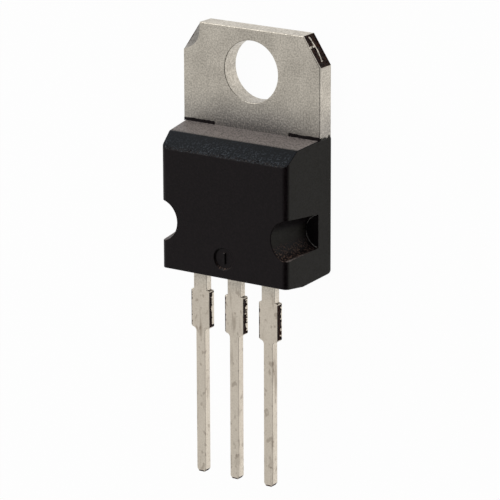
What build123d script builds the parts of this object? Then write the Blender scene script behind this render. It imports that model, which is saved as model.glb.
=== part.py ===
from build123d import *

import math
import os

os.makedirs("parts", exist_ok=True)

# Plastic-moulded power rectifier with a bolt-down tab and three flat leads. Two ultrafast
# diode chips share one copper header, which is their common cathode: the header, the tab and
# the centre lead are one copper piece, and each outer lead is the anode of its own chip.
#
# Frame: the origin is the centre of the tab's hole, on the mounting face. +Y runs to the top
# of the tab and the leads run to -Y. +Z points out of the front, away from the heatsink.
# The part lies on its mounting face.

# Driving dimensions, mm

# Tab and header
tab_width = 10.08
tab_thickness = 1.26
hole_to_top = 2.69  # hole centre to the tab's top edge
exposed_tab = 6.40  # tab's top edge to the moulding
clip_across = 1.24  # clipped corner, across the tab
clip_along = 1.85  # clipped corner, along the tab
hole_radius = 1.96
hole_rim_round = 0.05
seal_groove_height = 0.15  # shallow coined groove beside the moulding, front face
seal_groove_depth = 0.12
seal_groove_inner_x = 2.75
header_width = 7.80
header_corner_radius = 0.50

# Moulded body
body_width = 10.14  # at the mounting face, where it is widest
body_length = 8.95
front_cover = 1.15  # plastic in front of the leads
draft_angle = 5.7  # degrees, on every moulded side
bevel_height = 1.09  # sloping face above the front face, measured along Z
bevel_run = 0.87  # the same, measured along Y
front_edge_radius = 0.33
rear_edge_radius = 0.25
header_cover = 2.76  # header's lower edge to the bottom of the body

# Half-round notches in the body's sides
notch_from_bottom = 3.23
notch_outset = 0.19  # notch centre outside the side face
notch_floor_radius = 1.10
notch_mouth_radius = 1.34

# Leads
lead_pitch = 2.54
lead_thickness = 0.52
lead_back = 2.73  # mounting face to the back of the leads
lead_length = 13.31
neck_width = 0.97
neck_length = 1.27
wide_width = 1.38
wide_length = 2.38
shoulder_drop = 0.08
shoulder_radius = 0.27
pin_width = 0.67
tip_chamfer_across = 0.13
tip_chamfer_along = 0.18

# Joggle that carries the centre lead from the header up to the leads' level
joggle_foot = 0.25  # flat run below the header
joggle_run = 1.35  # length of the slope, along Y
joggle_radius = 0.40  # on the strip's mid-line

# Bond pads at the inner ends of the outer leads
pad_width = 2.00
pad_length = 1.40
pad_cover = 0.66  # pad's lower edge to the bottom of the body
pad_corner_radius = 0.20

# Diode chips and the solder under them
chip_side = 2.40
chip_thickness = 0.25
chip_spacing = 3.40
solder_thickness = 0.06
solder_margin = 0.15  # solder beyond the chip's edge

# Aluminium bond wires, two to a chip
wire_diameter = 0.38
wire_spacing = 1.00
foot_length = 0.70
foot_width = 0.55
foot_skin = 0.02  # foot's metal above and below the wire
foot_lead_out = 0.15  # straight wire beyond a foot
loop_rise = 0.24  # top of the loop above the foot on the pad
loop_start = 0.45  # share of the span at which the loop levels out
loop_end = 0.65  # share of the span at which it starts down
loop_radius = 0.50

# Levels and stations that follow from them
draft = math.tan(math.radians(draft_angle))
lead_front = lead_back + lead_thickness
lead_middle = lead_back + lead_thickness / 2
body_front = lead_front + front_cover
solder_top = tab_thickness + solder_thickness
chip_top = solder_top + chip_thickness
foot_height = wire_diameter + 2 * foot_skin

tab_top_y = hole_to_top
body_top_y = tab_top_y - exposed_tab
body_bottom_y = body_top_y - body_length
header_end_y = body_bottom_y + header_cover
lead_tip_y = body_bottom_y - lead_length
wide_top_y = body_bottom_y - neck_length
wide_bottom_y = wide_top_y - wide_length
shoulder_y = wide_bottom_y - shoulder_drop
pad_bottom_y = body_bottom_y + pad_cover
pad_middle_y = pad_bottom_y + pad_length / 2
chip_y = (body_top_y + header_end_y) / 2
joggle_bottom_y = header_end_y - joggle_foot
joggle_top_y = joggle_bottom_y - joggle_run
notch_y = body_bottom_y + notch_from_bottom


def side_x(z):
    """Half the body's width at height z: the sides lean in towards the front."""
    return body_width / 2 - draft * z


def save(piece, name):
    """Label a finished piece and write it as a STEP file of the same name."""
    piece.part.label = name
    export_step(piece.part, f"parts/{name}.step")


def lead_blade(inner_y):
    """One flat lead along -Y on X = 0, from inner_y inside the body down to its tip."""
    neck = neck_width / 2
    wide = wide_width / 2
    pin = pin_width / 2
    with BuildPart() as blade:
        with BuildSketch(Plane.XY.offset(lead_back)):
            with BuildLine():
                Polyline(
                    (0, inner_y),
                    (neck, inner_y),
                    (neck, wide_top_y),
                    (wide, wide_top_y),
                    (wide, wide_bottom_y),
                    (pin + shoulder_radius, shoulder_y),
                )
                RadiusArc(
                    (pin + shoulder_radius, shoulder_y),
                    (pin, shoulder_y - shoulder_radius),
                    -shoulder_radius,
                )
                Polyline(
                    (pin, shoulder_y - shoulder_radius),
                    (pin, lead_tip_y + tip_chamfer_along),
                    (pin - tip_chamfer_across, lead_tip_y),
                    (0, lead_tip_y),
                )
                mirror(about=Plane.YZ)
            make_face()
        extrude(amount=lead_thickness)
    return blade.part


def tab_with_centre_lead():
    """Tab, header, joggle and centre lead, stamped and bent from one copper strip."""
    with BuildPart() as copper:
        with BuildSketch():
            with BuildLine():
                Polyline(
                    (0, tab_top_y),
                    (tab_width / 2 - clip_across, tab_top_y),
                    (tab_width / 2, tab_top_y - clip_along),
                    (tab_width / 2, body_top_y),
                    (0, body_top_y),
                )
                mirror(about=Plane.YZ)
            make_face()
            Circle(hole_radius, mode=Mode.SUBTRACT)
        extrude(amount=tab_thickness)
        hole_edges = copper.edges().filter_by(GeomType.CIRCLE)
        fillet(hole_edges.sort_by(Axis.Z)[-1], hole_rim_round)

        with BuildSketch() as header:
            with Locations((0, body_top_y)):
                Rectangle(header_width, body_top_y - header_end_y, align=(Align.CENTER, Align.MAX))
            fillet(header.vertices().group_by(Axis.Y)[0], header_corner_radius)
        extrude(amount=tab_thickness)

        with BuildLine(Plane.YZ) as joggle:
            FilletPolyline(
                (header_end_y + joggle_foot, tab_thickness - lead_thickness / 2),
                (joggle_bottom_y, tab_thickness - lead_thickness / 2),
                (joggle_top_y, lead_middle),
                (joggle_top_y - joggle_foot, lead_middle),
                radius=joggle_radius,
            )
        with BuildSketch(Plane(origin=joggle.line @ 0, x_dir=(1, 0, 0), z_dir=joggle.line % 0)):
            Rectangle(neck_width, lead_thickness)
        sweep(path=joggle.line)
        add(lead_blade(joggle_top_y - joggle_foot))

        groove_width = tab_width / 2 - seal_groove_inner_x
        with BuildSketch(Plane.XY.offset(tab_thickness)):
            with Locations((seal_groove_inner_x, body_top_y)):
                Rectangle(groove_width, seal_groove_height, align=(Align.MIN, Align.MIN))
            mirror(about=Plane.YZ)
        extrude(amount=-seal_groove_depth, mode=Mode.SUBTRACT)
    return copper


def anode_lead(side):
    """Outer lead with its bond pad; side is -1 for the left one and +1 for the right one."""
    with BuildPart() as lead:
        with Locations((side * lead_pitch, 0)):
            add(lead_blade(pad_middle_y))
        with BuildSketch(Plane.XY.offset(lead_back)):
            with Locations((side * lead_pitch, pad_middle_y)):
                RectangleRounded(pad_width, pad_length, pad_corner_radius)
        extrude(amount=lead_thickness)
    return lead


def square_plate(x, width, bottom, thickness):
    """Square plate on the header, over the chip's place at x."""
    with BuildPart() as plate:
        with BuildSketch(Plane.XY.offset(bottom)):
            with Locations((x, chip_y)):
                Rectangle(width, width)
        extrude(amount=thickness)
    return plate


def bond_wire(side, offset):
    """Wire from a chip to its lead's pad, with a flattened foot bonded down at each end."""
    start = Vector(side * chip_spacing / 2 + offset, chip_y, chip_top)
    end = Vector(side * lead_pitch + offset, pad_middle_y, lead_front)
    level = Vector(end.X - start.X, end.Y - start.Y, 0)
    span = level.length
    along = level.normalized()
    upright = Plane(origin=start, x_dir=along, z_dir=along.cross(Vector(0, 0, 1)))
    low = foot_height / 2
    high = end.Z - start.Z + foot_height / 2
    clear_of_foot = foot_length / 2 + foot_lead_out
    with BuildPart() as wire:
        with BuildLine(upright) as loop:
            FilletPolyline(
                (0, low),
                (clear_of_foot, low),
                (loop_start * span, high + loop_rise),
                (loop_end * span, high + loop_rise),
                (span - clear_of_foot, high),
                (span, high),
                radius=loop_radius,
            )
        with BuildSketch(Plane(origin=loop.line @ 0, z_dir=loop.line % 0)):
            Circle(wire_diameter / 2)
        sweep(path=loop.line)
        for spot in (start, end):
            with BuildSketch(Plane(origin=spot, x_dir=along, z_dir=(0, 0, 1))):
                Rectangle(foot_length, foot_width)
            extrude(amount=foot_height)
    return wire


def moulded_body(embedded):
    """Black moulding, formed around everything that it embeds."""
    bevel_bottom_z = body_front - bevel_height
    top_lean = draft * (bevel_bottom_z - tab_thickness)
    with BuildPart() as body:
        with BuildSketch(Plane.YZ):
            with BuildLine():
                Polyline(
                    (body_top_y, 0),
                    (body_top_y, tab_thickness),
                    (body_top_y - top_lean, bevel_bottom_z),
                    (body_top_y - top_lean - bevel_run, body_front),
                    (body_bottom_y + draft * (body_front - lead_back), body_front),
                    (body_bottom_y, lead_back),
                    (body_bottom_y + draft * lead_back, 0),
                    close=True,
                )
            make_face()
        extrude(amount=body_width, both=True)
        with BuildSketch(Plane.XZ.offset(-body_top_y)):
            with BuildLine():
                Polyline(
                    (0, 0),
                    (side_x(0), 0),
                    (side_x(body_front), body_front),
                    (0, body_front),
                )
                mirror(about=Plane.YZ)
            make_face()
        extrude(amount=body_length, mode=Mode.INTERSECT)

        front_face = body.faces().filter_by(Plane.XY).sort_by(Axis.Z)[-1]
        fillet(front_face.edges().filter_by(Axis.Y), front_edge_radius)
        rear_face = body.faces().filter_by(Plane.XY).sort_by(Axis.Z)[0]
        fillet(rear_face.edges().sort_by(Axis.Y)[0], rear_edge_radius)

        for side in (-1, 1):
            with BuildSketch(Plane.XY.offset(tab_thickness)):
                with Locations((side * (side_x(tab_thickness) + notch_outset), notch_y)):
                    Circle(notch_floor_radius)
            with BuildSketch(Plane.XY.offset(body_front)):
                with Locations((side * (side_x(body_front) + notch_outset), notch_y)):
                    Circle(notch_mouth_radius)
            loft(ruled=True, mode=Mode.SUBTRACT)

        for piece in embedded:
            add(piece.part, mode=Mode.SUBTRACT)
    return body


pieces = {"tab_and_centre_lead": tab_with_centre_lead()}
for side_name, side in (("left", -1), ("right", 1)):
    chip_x = side * chip_spacing / 2
    solder_side = chip_side + 2 * solder_margin
    pieces[f"{side_name}_anode_lead"] = anode_lead(side)
    pieces[f"{side_name}_chip_solder"] = square_plate(
        chip_x, solder_side, tab_thickness, solder_thickness
    )
    pieces[f"{side_name}_diode_chip"] = square_plate(chip_x, chip_side, solder_top, chip_thickness)
    pieces[f"{side_name}_inner_bond_wire"] = bond_wire(side, -side * wire_spacing / 2)
    pieces[f"{side_name}_outer_bond_wire"] = bond_wire(side, side * wire_spacing / 2)

pieces["moulded_body"] = moulded_body(list(pieces.values()))
for name, piece in pieces.items():
    save(piece, name)
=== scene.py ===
"""Looks for a moulded power rectifier with a bolt-down tab and three flat leads.

Everything is in metres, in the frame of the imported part: the origin is the centre of the
tab's hole on the mounting face, +Y runs to the top of the tab, the leads run to -Y, and +Z
comes out of the front. The part lies on its mounting face.
"""
import logging
import math
import random
from dataclasses import dataclass, field
from enum import Enum
from functools import partial, reduce
from typing import Sequence

import bmesh
import bpy
from mathutils import Matrix, Vector


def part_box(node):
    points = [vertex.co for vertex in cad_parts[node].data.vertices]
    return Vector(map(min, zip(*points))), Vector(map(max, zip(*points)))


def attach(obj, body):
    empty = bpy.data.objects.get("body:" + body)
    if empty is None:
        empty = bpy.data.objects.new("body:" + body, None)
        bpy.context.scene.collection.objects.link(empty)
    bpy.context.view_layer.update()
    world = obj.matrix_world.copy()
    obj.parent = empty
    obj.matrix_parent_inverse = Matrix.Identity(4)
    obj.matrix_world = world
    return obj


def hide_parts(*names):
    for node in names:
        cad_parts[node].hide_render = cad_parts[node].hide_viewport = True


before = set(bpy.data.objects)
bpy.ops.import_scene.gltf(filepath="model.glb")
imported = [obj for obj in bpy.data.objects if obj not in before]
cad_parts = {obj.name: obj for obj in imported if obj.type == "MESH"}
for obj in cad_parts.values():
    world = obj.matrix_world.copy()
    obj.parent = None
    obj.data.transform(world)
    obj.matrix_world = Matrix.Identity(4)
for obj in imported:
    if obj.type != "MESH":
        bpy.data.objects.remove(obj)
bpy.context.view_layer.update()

MM = 0.001
SMOOTH_ANGLE = math.radians(32)
MERGE_GAP = 0.0002 * MM
HAIR = 0.001 * MM

Colour = tuple[float, float, float]
Point = tuple[float, float]
Mesh = bmesh.types.BMesh
Vert = bmesh.types.BMVert
Loop = Sequence[Vert]
Socket = bpy.types.NodeSocket
Material = bpy.types.Material
Piece = bpy.types.Object

log = logging.getLogger("rectifier")


class Side(Enum):
    """The two sides of the part, as its front is seen with the tab up."""

    LEFT = -1
    RIGHT = 1


class Slot(Enum):
    """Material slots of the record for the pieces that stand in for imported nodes."""

    MOULDING = "black_moulding"
    PLATING = "plated_copper"


@dataclass(frozen=True)
class Package:
    """Sizes that several pieces share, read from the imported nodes.

    Attributes:
        body_low: Lowest corner of the moulding.
        body_high: Highest corner of the moulding.
        metal_low: Lowest corner of the tab and centre lead.
        metal_high: Highest corner of the tab and centre lead.
        lead_low: Lowest corner of the right outer lead.
        lead_high: Highest corner of the right outer lead.
        tab_thickness: Thickness of the tab and header.
        header_cover: Header's lower edge to the bottom of the body.
    """

    body_low: Vector
    body_high: Vector
    metal_low: Vector
    metal_high: Vector
    lead_low: Vector
    lead_high: Vector
    tab_thickness: float
    header_cover: float = 2.76 * MM

    @classmethod
    def from_frame(cls) -> "Package":
        """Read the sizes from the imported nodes.

        Returns:
            The sizes in metres.
        """
        body_low, body_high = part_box("moulded_body")
        metal_low, metal_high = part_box("tab_and_centre_lead")
        lead_low, lead_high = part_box("right_anode_lead")
        solder_low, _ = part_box("right_chip_solder")
        return cls(body_low, body_high, metal_low, metal_high, lead_low, lead_high, solder_low.z)

    @property
    def lead_pitch(self) -> float:
        """Distance between neighbouring leads."""
        return (self.lead_low.x + self.lead_high.x) / 2

    @property
    def header_end(self) -> float:
        """Y of the header's lower edge, inside the moulding."""
        return self.body_low.y + self.header_cover


def arc(centre: Point, radius: float, start: float, end: float, steps: int) -> list[Point]:
    """Points along a circular arc, both ends included.

    Args:
        centre: Centre of the arc.
        radius: Radius of the arc.
        start: First angle in degrees.
        end: Last angle in degrees.
        steps: Number of chords.

    Returns:
        The points, from the first angle to the last.
    """
    angles = [math.radians(start + (end - start) * i / steps) for i in range(steps + 1)]
    return [(centre[0] + radius * math.cos(a), centre[1] + radius * math.sin(a)) for a in angles]


def line(start: Point, end: Point, steps: int) -> list[Point]:
    """Points along a straight line, both ends included.

    Args:
        start: First point.
        end: Last point.
        steps: Number of equal stretches.

    Returns:
        The points, from start to end.
    """
    shares = [i / steps for i in range(steps + 1)]
    return [(start[0] + (end[0] - start[0]) * s, start[1] + (end[1] - start[1]) * s) for s in shares]


def edge_round(depth: float, radius: float) -> float:
    """How far a rounded edge has drawn in at a depth below the face it rounds into.

    Args:
        depth: Distance below the face.
        radius: Radius of the rounded edge.

    Returns:
        The inset, from the full radius at the face to nothing one radius below it.
    """
    if depth >= radius:
        return 0.0
    return radius - math.sqrt(max(radius**2 - (radius - max(depth, 0.0)) ** 2, 0.0))


def lifted(outline: Sequence[Point], z: float) -> list[Vector]:
    """Place a flat outline at height z."""
    return [Vector((x, y, z)) for x, y in outline]


def start_loop(bm: Mesh, points: Sequence[Vector]) -> list[Vert]:
    """Lay down a closed loop of edges.

    Args:
        bm: The mesh to add to.
        points: Corners of the loop, in order.

    Returns:
        The loop's vertices, in the same order.
    """
    verts = [bm.verts.new(point) for point in points]
    for first, second in zip(verts, verts[1:] + verts[:1]):
        bm.edges.new((first, second))
    return verts


def loop_edges(bm: Mesh, loop: Loop) -> list[bmesh.types.BMEdge]:
    """The edges that join a closed loop of vertices.

    Args:
        bm: The mesh that holds them.
        loop: Vertices in order.

    Returns:
        One edge for each vertex.
    """
    following = list(loop[1:]) + list(loop[:1])
    return [bm.edges.get((first, second)) for first, second in zip(loop, following)]


def raise_loop(
    bm: Mesh, loop: Loop, points: Sequence[Vector]
) -> list[Vert]:
    """Extrude a closed loop once and carry each new vertex to its own point.

    Args:
        bm: The mesh that holds the loop.
        loop: Vertices of the loop, in order.
        points: Where the new vertices go, in the same order.

    Returns:
        The new loop's vertices, in the same order.
    """
    made = bmesh.ops.extrude_edge_only(bm, edges=loop_edges(bm, loop))["geom"]
    fresh = {item for item in made if isinstance(item, Vert)}
    raised = []
    for vert, point in zip(loop, points):
        twins = [edge.other_vert(vert) for edge in vert.link_edges]
        twin = next(other for other in twins if other in fresh)
        twin.co = point
        raised.append(twin)
    return raised


def loft(bm: Mesh, sections: Sequence[Sequence[Vector]]) -> list[list[Vert]]:
    """Skin a stack of sections that all have the same number of points.

    Args:
        bm: The mesh to add to.
        sections: The stacked outlines, from the first to the last.

    Returns:
        The first and last loops of vertices.
    """
    first = start_loop(bm, sections[0])
    last = first
    for section in sections[1:]:
        last = raise_loop(bm, last, section)
    return [first, last]


def cover(bm: Mesh, *loops: Loop) -> None:
    """Close a flat outline, leaving any further loops inside it as holes.

    Args:
        bm: The mesh that holds the loops.
        loops: The outline, then each hole.
    """
    edges = [edge for loop in loops for edge in loop_edges(bm, loop) if edge]
    bmesh.ops.triangle_fill(bm, use_beauty=True, use_dissolve=False, edges=edges)
    for edge in edges:
        edge.smooth = False


def finish_mesh(bm: Mesh, name: str) -> Piece:
    """Merge and orient a mesh, even its shading, and put it in the scene as an object.

    Args:
        bm: The mesh, which is freed.
        name: Name of the piece.

    Returns:
        The new object, at the origin.
    """
    bmesh.ops.remove_doubles(bm, verts=bm.verts, dist=MERGE_GAP)
    bmesh.ops.dissolve_degenerate(bm, edges=bm.edges, dist=MERGE_GAP)
    bmesh.ops.recalc_face_normals(bm, faces=bm.faces)
    for edge in bm.edges:
        if edge.calc_face_angle(math.pi) > SMOOTH_ANGLE:
            edge.smooth = False
    for face in bm.faces:
        face.smooth = True
    mesh = bpy.data.meshes.new(name)
    bm.to_mesh(mesh)
    bm.free()
    piece = bpy.data.objects.new(name, mesh)
    bpy.context.scene.collection.objects.link(piece)
    level = piece.modifiers.new("even_shading", "WEIGHTED_NORMAL")
    level.keep_sharp = True
    return piece


def seat(piece: Piece, slot: Slot, *nodes: str) -> None:
    """Tie a finished piece to the frame.

    Args:
        piece: The piece.
        slot: The record's material slot; not used.
        nodes: CAD nodes that it stands for.
    """
    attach(piece, "root")
    if nodes:
        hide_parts(*nodes)
    log.info("%s: %d faces, for %s", piece.name, len(piece.data.polygons), ", ".join(nodes) or "itself")


class Wiring:
    """Adds and joins the shader nodes of one node tree."""

    def __init__(self, tree: bpy.types.NodeTree) -> None:
        """Work on a node tree, with a node that gives the place."""
        self.tree = tree
        self.place = tree.nodes.new("ShaderNodeTexCoord")

    def join(self, source: Socket, target: Socket) -> None:
        """Link one socket to another."""
        self.tree.links.new(source, target)

    def noise(
        self, scale: float, detail: float = 3.0, stretch: tuple[float, float, float] = (1, 1, 1)
    ) -> Socket:
        """Cloudy noise on Object coordinates.

        Args:
            scale: Features per metre.
            detail: Number of finer layers.
            stretch: How much the pattern is squeezed along each axis.

        Returns:
            The noise, from 0 to 1.
        """
        mapping = self.tree.nodes.new("ShaderNodeMapping")
        mapping.inputs["Scale"].default_value = stretch
        self.join(self.place.outputs["Object"], mapping.inputs["Vector"])
        texture = self.tree.nodes.new("ShaderNodeTexNoise")
        texture.inputs["Scale"].default_value = scale
        texture.inputs["Detail"].default_value = detail
        self.join(mapping.outputs["Vector"], texture.inputs["Vector"])
        return texture.outputs["Fac"]

    def span(
        self, value: Socket, low: float, high: float, to_low: float = 0.0, to_high: float = 1.0
    ) -> Socket:
        """Map a range of a value onto another, clamped and eased.

        Args:
            value: The value to map.
            low: Start of its range.
            high: End of its range.
            to_low: Result at low.
            to_high: Result at high.

        Returns:
            The mapped value.
        """
        node = self.tree.nodes.new("ShaderNodeMapRange")
        node.interpolation_type = "SMOOTHSTEP"
        for name, number in (("From Min", low), ("From Max", high), ("To Min", to_low), ("To Max", to_high)):
            node.inputs[name].default_value = number
        self.join(value, node.inputs["Value"])
        return node.outputs["Result"]

    def along(self, output: str, axis: str) -> Socket:
        """One axis of the place or of the surface's own normal.

        Args:
            output: "Object" for the place, "Normal" for the way a surface faces, and for the
                surround "Generated", the direction looked in.
            axis: "X", "Y" or "Z".

        Returns:
            That axis of it.
        """
        node = self.tree.nodes.new("ShaderNodeSeparateXYZ")
        self.join(self.place.outputs[output], node.inputs["Vector"])
        return node.outputs[axis]

    def maths(
        self, operation: str, first: Socket, second: Socket | float
    ) -> Socket:
        """Combine two values.

        Args:
            operation: Name of the operation, as the Math node spells it.
            first: The first value.
            second: The second value or a number.

        Returns:
            The result.
        """
        node = self.tree.nodes.new("ShaderNodeMath")
        node.operation = operation
        self.join(first, node.inputs[0])
        if isinstance(second, (int, float)):
            node.inputs[1].default_value = second
        else:
            self.join(second, node.inputs[1])
        return node.outputs["Value"]

    def product(self, *values: Socket) -> Socket:
        """Multiply values."""
        return reduce(partial(self.maths, "MULTIPLY"), values)

    def total(self, *values: Socket) -> Socket:
        """Add values."""
        return reduce(partial(self.maths, "ADD"), values)

    def rays(self, *kinds: str) -> Socket:
        """1 for the kinds of ray that are named, as the Light Path node spells them, and 0 for others."""
        path = self.tree.nodes.new("ShaderNodeLightPath")
        return reduce(partial(self.maths, "MAXIMUM"), [path.outputs[kind] for kind in kinds])

    def blend(
        self, factor: Socket, first: Colour | Socket, second: Colour
    ) -> Socket:
        """Mix two colours.

        Args:
            factor: Share of the second colour.
            first: Colour or colour socket at 0.
            second: Colour at 1.

        Returns:
            The mixed colour.
        """
        node = self.tree.nodes.new("ShaderNodeMix")
        node.data_type = "RGBA"
        self.join(factor, node.inputs["Factor"])
        if isinstance(first, Socket):
            self.join(first, node.inputs["A"])
        else:
            node.inputs["A"].default_value = (*first, 1)
        node.inputs["B"].default_value = (*second, 1)
        return node.outputs["Result"]

    def bump(
        self, height: Socket, depth: float, under: Socket | None = None
    ) -> Socket:
        """Turn a height into a surface normal.

        Args:
            height: The height, from 0 to 1.
            depth: Depth of the relief in metres.
            under: Normal from a coarser relief below it.

        Returns:
            The normal.
        """
        node = self.tree.nodes.new("ShaderNodeBump")
        node.inputs["Strength"].default_value = 1.0
        node.inputs["Distance"].default_value = depth
        self.join(height, node.inputs["Height"])
        if under:
            self.join(under, node.inputs["Normal"])
        return node.outputs["Normal"]


class Paint(Wiring):
    """One material, started with a Principled shader."""

    def __init__(self, name: str) -> None:
        """Start the material.

        Args:
            name: Name of the material.
        """
        self.material = bpy.data.materials.new(name)
        self.material.use_nodes = True
        self.material.node_tree.nodes.clear()
        super().__init__(self.material.node_tree)
        self.shader = self.tree.nodes.new("ShaderNodeBsdfPrincipled")
        self.output = self.tree.nodes.new("ShaderNodeOutputMaterial")
        self.join(self.shader.outputs["BSDF"], self.output.inputs["Surface"])


@dataclass(frozen=True)
class MouldingFinish:
    """Black moulding compound with a fine spark-eroded grain, and painted light on its sides, bevel, notches
    and the face beside the tab.

    Attributes:
        deep: Colour of the compound.
        lifted: Colour where the grain shows.
        painted_side_light: Colour of the drafted sides, lighter than the front: painted light on the sides.
        painted_bevel_reflection: Colour of the bevel: a painted bluish reflection.
        painted_bevel_glints: Colour of the painted glints on the bevel, thickest at its foot.
        painted_notch_glints: Colour of the painted brown glints in the lower half of the side notches.
        haze_and_sheen: Colour of the face beside the tab: a grey haze with a painted sheen on it.
        painted_notch_highlight: Colour of the painted highlight line round the foot of each side notch.
        bevel_foot: Z of the bevel's foot.
        bevel_start: Z of its top.
        notch_seat: Z of the notches' floor.
        notch_line: Width of the painted highlight line.
        notch_reach: Distance from the middle that it reaches out to.
        upper_from: Y above which the bevel's colours hold.
        lower_from: Y below which the notches' painted glints hold.
        scales: Features per metre of the clouds, the speckle, the coarse grain and the fine grain.
        specular: Strength of the mirrored light.
        roughness: Least and greatest roughness.
        reliefs: Depth of the coarse grain and of the fine grain.
    """

    deep: Colour = (0.0052, 0.0026, 0.0034)
    lifted: Colour = (0.0120, 0.0078, 0.0088)
    painted_side_light: Colour = (0.0172, 0.0143, 0.0094)
    painted_bevel_reflection: Colour = (0.0012, 0.0032, 0.0062)
    painted_bevel_glints: Colour = (0.050, 0.060, 0.072)
    painted_notch_glints: Colour = (0.160, 0.105, 0.080)
    haze_and_sheen: Colour = (0.330, 0.288, 0.270)
    painted_notch_highlight: Colour = (0.62, 0.60, 0.57)
    bevel_foot: float = 4.36 * MM
    bevel_start: float = 3.31 * MM
    notch_seat: float = 1.26 * MM
    notch_line: float = 0.05 * MM
    notch_reach: float = 4.80 * MM
    upper_from: float = -6.0 * MM
    lower_from: float = -6.5 * MM
    scales: tuple[float, ...] = (900, 9000, 2600, 14000)
    specular: float = 0.15
    roughness: tuple[float, float] = (0.36, 0.54)
    reliefs: tuple[float, float] = (0.006 * MM, 0.004 * MM)

    def material(self) -> Material:
        """Build the material.

        Returns:
            The material.
        """
        wiring = Paint("black_moulding")
        shader = wiring.shader.inputs
        cloud_scale, speckle_scale, coarse_scale, fine_scale = self.scales
        cloud = wiring.noise(cloud_scale, 4)
        speckle = wiring.noise(speckle_scale, 2)
        facing_up = wiring.along("Normal", "Y")
        sideways = wiring.maths("ABSOLUTE", wiring.along("Normal", "X"), 0.0)
        depth = wiring.along("Object", "Z")
        length = wiring.along("Object", "Y")
        across = wiring.maths("ABSOLUTE", wiring.along("Object", "X"), 0.0)
        upper = wiring.span(length, self.lower_from, self.upper_from)
        lower = wiring.span(length, self.upper_from, self.lower_from)
        tilted = wiring.span(facing_up, 0.25, 0.6)
        # specks where the painted glints on the bevel and in the notches show
        glint_specks = wiring.product(wiring.span(speckle, 0.50, 0.64), wiring.span(cloud, 0.35, 0.6, 0.5, 1))
        foot = wiring.span(depth, self.bevel_start, self.bevel_foot, 0.30, 1.0)
        # mottle of the haze and the painted sheen
        haze_and_sheen_mottle = wiring.span(speckle, 0.34, 0.60, 0.38, 1)
        # mask of the painted highlight line where each notch's wall meets its floor
        notch_highlight_mask = wiring.product(
            wiring.span(depth, self.notch_seat - 0.1 * self.notch_line, self.notch_seat),
            wiring.span(depth, self.notch_seat + self.notch_line, self.notch_seat + 0.6 * self.notch_line),
            wiring.span(across, self.notch_reach + self.notch_line, self.notch_reach),
            lower,
            wiring.span(wiring.along("Normal", "Z"), 0.97, 0.8),
            wiring.span(cloud, 0.36, 0.5),
        )
        colour = wiring.blend(wiring.span(speckle, 0.35, 0.75), self.deep, self.lifted)
        # painted light: faces turned sideways get a lighter, warmer colour
        colour = wiring.blend(wiring.span(sideways, 0.85, 0.97), colour, self.painted_side_light)
        # painted reflection: the bevel, picked out by its slope, gets a bluish tint
        colour = wiring.blend(wiring.product(wiring.span(facing_up, 0.55, 0.72), upper), colour, self.painted_bevel_reflection)
        # painted glints: light specks on the tilted upper faces, thickest at the bevel's foot
        colour = wiring.blend(wiring.product(tilted, upper, glint_specks, foot), colour, self.painted_bevel_glints)
        # painted glints: brown specks on the tilted faces in the lower half, where the notches face the light
        colour = wiring.blend(wiring.product(tilted, lower, glint_specks), colour, self.painted_notch_glints)
        # partly grey haze and partly painted sheen: faces that look towards the tab get a light grey
        colour = wiring.blend(wiring.product(wiring.span(facing_up, 0.95, 0.985), haze_and_sheen_mottle), colour, self.haze_and_sheen)
        # painted highlight: a bright line round the foot of each side notch
        colour = wiring.blend(notch_highlight_mask, colour, self.painted_notch_highlight)
        wiring.join(colour, shader["Base Color"])
        shader["Specular IOR Level"].default_value = self.specular
        wiring.join(wiring.span(speckle, 0.3, 0.7, *self.roughness), shader["Roughness"])
        coarse = wiring.bump(wiring.noise(coarse_scale, 3), self.reliefs[0])
        wiring.join(wiring.bump(wiring.noise(fine_scale, 2), self.reliefs[1], coarse), shader["Normal"])
        return wiring.material


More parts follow.
